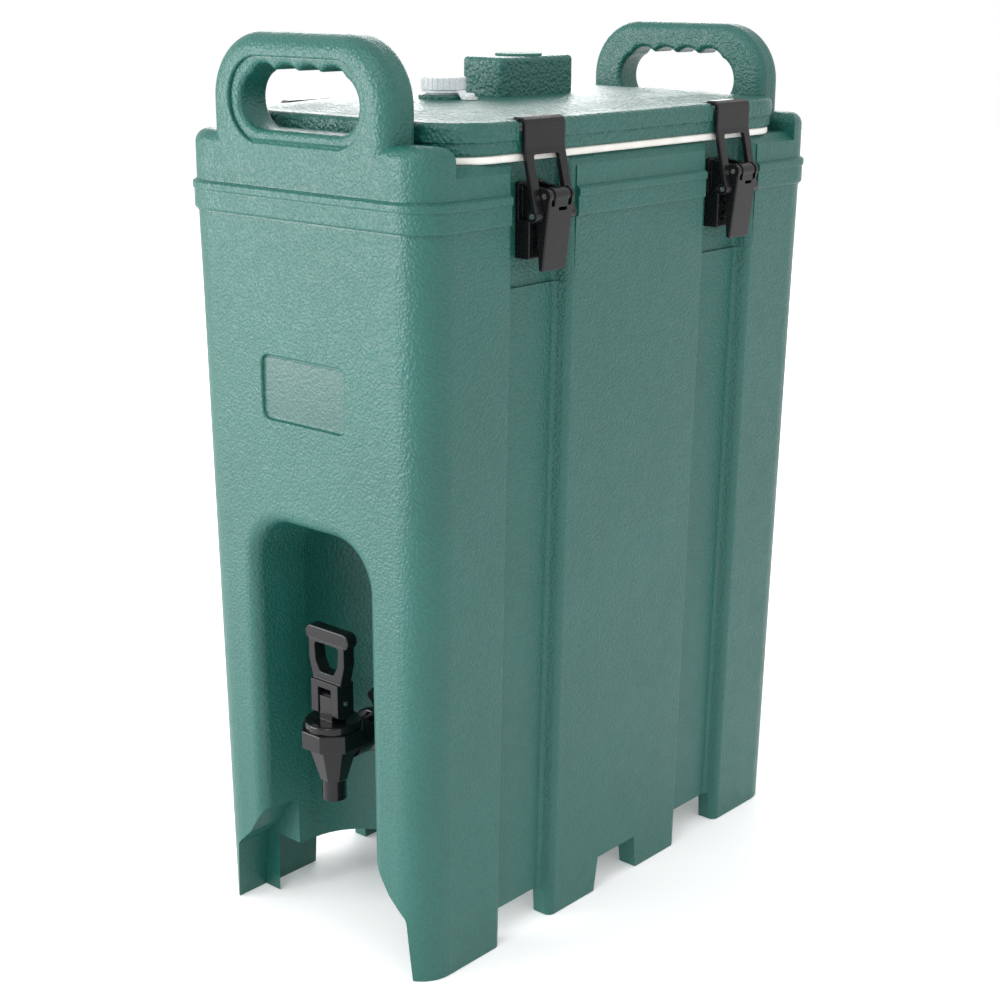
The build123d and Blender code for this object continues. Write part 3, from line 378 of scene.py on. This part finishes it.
def green_polyethylene(name, grain_size, grain_depth, deep, pale, roughness):
    """Pebbled green plastic with rubbed edges, a polished label recess and smoother feet; painted shade
    darkens the grain valleys and the label recess.
    """
    material, tree, shader = new_material(name, roughness)
    grain = place_group(tree, PEBBLE_GRAIN, Size=grain_size, Softness=0.6)
    drift = place_group(tree, TONE_DRIFT, Patch_Size=0.10)
    edge = place_group(tree, EDGE_WEAR_AND_HIGHLIGHT, Width=0.0030, Breakup=0.35)
    zone = place_group(tree, LABEL_RECESS)
    level = zone.outputs["Height"]
    recess = zone.outputs["Inside"]
    apart = math_node(tree, "ABSOLUTE", math_node(tree, "SUBTRACT", level, GRIP_JOINT_Z))
    away = remap(tree, apart, JOINT_FADE, JOINT_FADE * 1.6, 0.0, 1.0)
    rubbed = math_node(tree, "MULTIPLY", edge.outputs["Mask"], away)
    tone = blend_color(tree, remap(tree, drift.outputs["Broad"], 0, 1, 0.25, 0.75), deep, pale)
    # Painted shade: the valleys between the pebbles are darkened in the colour.
    painted_valley_shade = remap(tree, grain.outputs["Valleys"], 0.2, 0.9, 0.0, 0.35)
    # The colour of the painted shade, used in the grain valleys and in the label recess.
    dark = opaque(deep, 0.62)
    skin = blend_color(tree, painted_valley_shade, tone, dark)
    edged = blend_color(tree, math_node(tree, "MULTIPLY", rubbed, 0.55), skin, deep)
    # Painted shade: the label recess is darkened in the colour; its real polish is the lower roughness and
    # weaker bump.
    color = blend_color(tree, math_node(tree, "MULTIPLY", recess, 0.5), edged, dark)
    gloss = remap(tree, drift.outputs["Narrow"], 0, 1, roughness - 0.05, roughness + 0.05)
    glazed = math_node(tree, "MAXIMUM", rubbed, recess)
    shine = math_node(tree, "SUBTRACT", gloss, math_node(tree, "MULTIPLY", glazed, 0.15))
    feed(tree, {(shader, "Base Color"): color, (shader, "Roughness"): shine})
    on_edge = math_node(tree, "SUBTRACT", 1.0, math_node(tree, "MULTIPLY", rubbed, 0.7))
    on_foot = remap(tree, level, SMOOTH_BELOW_Z, FULL_GRAIN_Z, FOOT_GRAIN, 1.0)
    in_recess = math_node(tree, "SUBTRACT", 1.0, math_node(tree, "MULTIPLY", recess, 0.8))
    wear_and_edge_highlight = math_node(tree, "MULTIPLY", on_edge, on_foot)
    grained = math_node(tree, "MULTIPLY", grain.outputs["Height"], wear_and_edge_highlight)
    relief = math_node(tree, "MULTIPLY", grained, in_recess)
    bump(tree, shader, relief, 1.0, grain_depth)
    return material


DEEP_GREEN = (0.0085, 0.094, 0.075, 1.0)
PALE_GREEN = (0.014, 0.120, 0.100, 1.0)
BODY_GREEN = green_polyethylene("body_polyethylene", 0.0019, 0.00050, DEEP_GREEN, PALE_GREEN, 0.40)
LID_GREEN = green_polyethylene("lid_polyethylene", 0.0025, 0.00090, DEEP_GREEN, PALE_GREEN, 0.36)
print("green finishes", BODY_GREEN.name, LID_GREEN.name)

# %% [markdown]
# ## Black nylon, black gloss plastic, rubber, steel, foam and vent plastic
# The latches are satin nylon with a fine spark-eroded texture. The faucet is polished plastic that shows the
# room in its flats, with faint handling haze. Gasket and washers are silicone, the vent parts are milky
# polypropylene, the pins are drawn steel, and the insulation is open, cut foam. Each recipe is a short
# function, and the table at the end says which finish goes with which material slot of the frame.

# %% Other finishes
def satin_plastic(name, color, roughness, grain_size, grain_depth, edge_highlight_tint, specular=0.5):
    """Moulded plastic with a fine texture and a painted highlight along its edges, a paler edge tint."""
    material, tree, shader = new_material(name, roughness, specular=specular)
    grain = place_group(tree, PEBBLE_GRAIN, Size=grain_size, Softness=0.4)
    drift = place_group(tree, TONE_DRIFT, Patch_Size=0.02)
    edge = place_group(tree, EDGE_WEAR_AND_HIGHLIGHT, Width=0.0008, Breakup=0.5)
    # Painted highlight: the edge mask blends the colour towards the paler edge tint.
    wear_and_edge_highlight = blend_color(tree, math_node(tree, "MULTIPLY", edge.outputs["Mask"], 0.6), color, edge_highlight_tint)
    lighter = tuple(min(1.0, channel * 1.5 + 0.002) for channel in color[:3]) + (1.0,)
    tone = blend_color(tree, math_node(tree, "MULTIPLY", drift.outputs["Broad"], 0.5), wear_and_edge_highlight, lighter)
    feed(tree, {(shader, "Base Color"): tone,
                (shader, "Roughness"): remap(tree, drift.outputs["Narrow"], 0, 1,
                                             roughness - 0.07, roughness + 0.07)})
    bump(tree, shader, grain.outputs["Height"], 0.6, grain_depth, edge.outputs["Soft Normal"])
    return material


STREAKS_PER_METRE = (900.0, 60.0, 900.0)


def steel(name, color, roughness):
    """Drawn steel wire: streaks run along the pin, with a little tarnish."""
    material, tree, shader = new_material(name, roughness, metallic=1.0)
    place = add(tree, "ShaderNodeTexCoord")
    lay = add(tree, "ShaderNodeMapping")
    lay.inputs["Scale"].default_value = STREAKS_PER_METRE
    tree.links.new(place.outputs["Object"], lay.inputs["Vector"])
    streaks = add(tree, "ShaderNodeTexNoise")
    feed(tree, {(streaks, "Vector"): lay.outputs[0], (streaks, "Scale"): 1.0, (streaks, "Detail"): 3.0})
    drift = place_group(tree, TONE_DRIFT, Patch_Size=0.006)
    dull = opaque(color, 0.7)
    feed(tree, {(shader, "Base Color"): blend_color(tree, drift.outputs["Broad"], color, dull),
                (shader, "Roughness"): remap(tree, streaks.outputs["Fac"], 0.3, 0.7,
                                             roughness - 0.08, roughness + 0.12)})
    bump(tree, shader, streaks.outputs["Fac"], 0.3, 0.00005)
    return material


def cut_foam(name, color, shade):
    """Cut insulation foam: open cells with painted shade in them, and a warm, uneven tint."""
    material, tree, shader = new_material(name, 0.9)
    cells = place_group(tree, PEBBLE_GRAIN, Size=0.0011, Softness=0.1)
    drift = place_group(tree, TONE_DRIFT, Patch_Size=0.05)
    tone = blend_color(tree, drift.outputs["Broad"], color, shade)
    # Painted shade: the open cells are darkened in the colour.
    painted_valley_shade = blend_color(tree, cells.outputs["Valleys"], tone, opaque(shade, 0.5))
    feed(tree, {(shader, "Base Color"): painted_valley_shade})
    bump(tree, shader, cells.outputs["Height"], 1.0, 0.0006)
    return material


def milky_plastic(name, color, clear):
    """Translucent polypropylene: part of the light passes through and blurs."""
    material, tree, shader = new_material(name, 0.3)
    drift = place_group(tree, TONE_DRIFT, Patch_Size=0.012)
    grain = place_group(tree, PEBBLE_GRAIN, Size=0.0007, Softness=0.6)
    shade = opaque(color, 0.93)
    feed(tree, {(shader, "Base Color"): blend_color(tree, drift.outputs["Broad"], color, shade),
                (shader, "Transmission Weight"): clear,
                (shader, "Roughness"): remap(tree, drift.outputs["Narrow"], 0, 1, 0.22, 0.36)})
    bump(tree, shader, grain.outputs["Height"], 0.3, 0.00006)
    return material


# The second colour given to each satin finish is its painted edge highlight tint.
BLACK_NYLON = satin_plastic("latch_nylon", (0.006, 0.006, 0.007, 1.0), 0.28, 0.0006, 0.00006,
                            (0.12, 0.12, 0.125, 1.0), 0.30)
BLACK_GLOSS = satin_plastic("faucet_gloss", (0.004, 0.004, 0.005, 1.0), 0.13, 0.0030, 0.00003,
                            (0.05, 0.05, 0.052, 1.0), 0.36)
GASKET = satin_plastic("gasket_silicone", (0.76, 0.74, 0.68, 1.0), 0.55, 0.0009, 0.00004,
                       (0.86, 0.85, 0.80, 1.0))
SEAL = satin_plastic("seal_silicone", (0.66, 0.66, 0.62, 1.0), 0.5, 0.0008, 0.00004,
                     (0.80, 0.80, 0.76, 1.0))
PLUG_GREEN = satin_plastic("plug_plastic", (0.016, 0.12, 0.09, 1.0), 0.5, 0.0009, 0.00010,
                           (0.03, 0.17, 0.13, 1.0))
STEEL = steel("drawn_steel", (0.80, 0.80, 0.79, 1.0), 0.28)
FOAM = cut_foam("insulation_foam", (0.80, 0.70, 0.47, 1.0), (0.66, 0.55, 0.33, 1.0))
VENT = milky_plastic("vent_plastic", (0.78, 0.82, 0.84, 1.0), 0.15)

FINISHES = {
    "green_polyethylene": BODY_GREEN, "green_plug_plastic": PLUG_GREEN, "insulation_foam": FOAM,
    "gasket_silicone": GASKET, "seal_silicone": SEAL, "vent_plastic": VENT, "latch_nylon": BLACK_NYLON,
    "stainless_steel": STEEL, "faucet_plastic": BLACK_GLOSS,
}
print("finishes", len(FINISHES))

# %% [markdown]
# ## Pale floor sheet
# Paper that is nearly white, with faint drift. A little light of its own keeps the sheet as white as the room
# behind it, so that the horizon doesn't show, and leaves the soft shadow under the feet.

# %% Pale floor sheet
PAPER = (0.93, 0.93, 0.94, 1.0)
PALE_PAPER = (0.95, 0.95, 0.96, 1.0)
PAPER_GLOW = 0.22


def paper_sheet():
    """White paper that glows a little."""
    material, tree, shader = new_material("paper_sheet", 0.7)
    drift = place_group(tree, TONE_DRIFT, Patch_Size=0.5)
    feed(tree, {(shader, "Base Color"): blend_color(tree, drift.outputs["Broad"], PAPER, PALE_PAPER),
                (shader, "Emission Color"): WHITE + (1.0,), (shader, "Emission Strength"): PAPER_GLOW})
    return material


floor.data.materials.append(paper_sheet())
print("floor finish", floor.data.materials[0].name)

# %% [markdown]
# ## Finishes on the frame's own parts
# Each part of the frame names its material slot in the record. The slot picks the finish; only the lid uses
# its own coarser version of the green.

# %% Finishes on the frame
for subpart in frame["record"]["subparts"]:
    node = nodes[subpart["node"]]
    finish = LID_GREEN if subpart["node"] == "lid_shell" else FINISHES[subpart["material_slot"]]
    node.data.materials.clear()
    node.data.materials.append(finish)
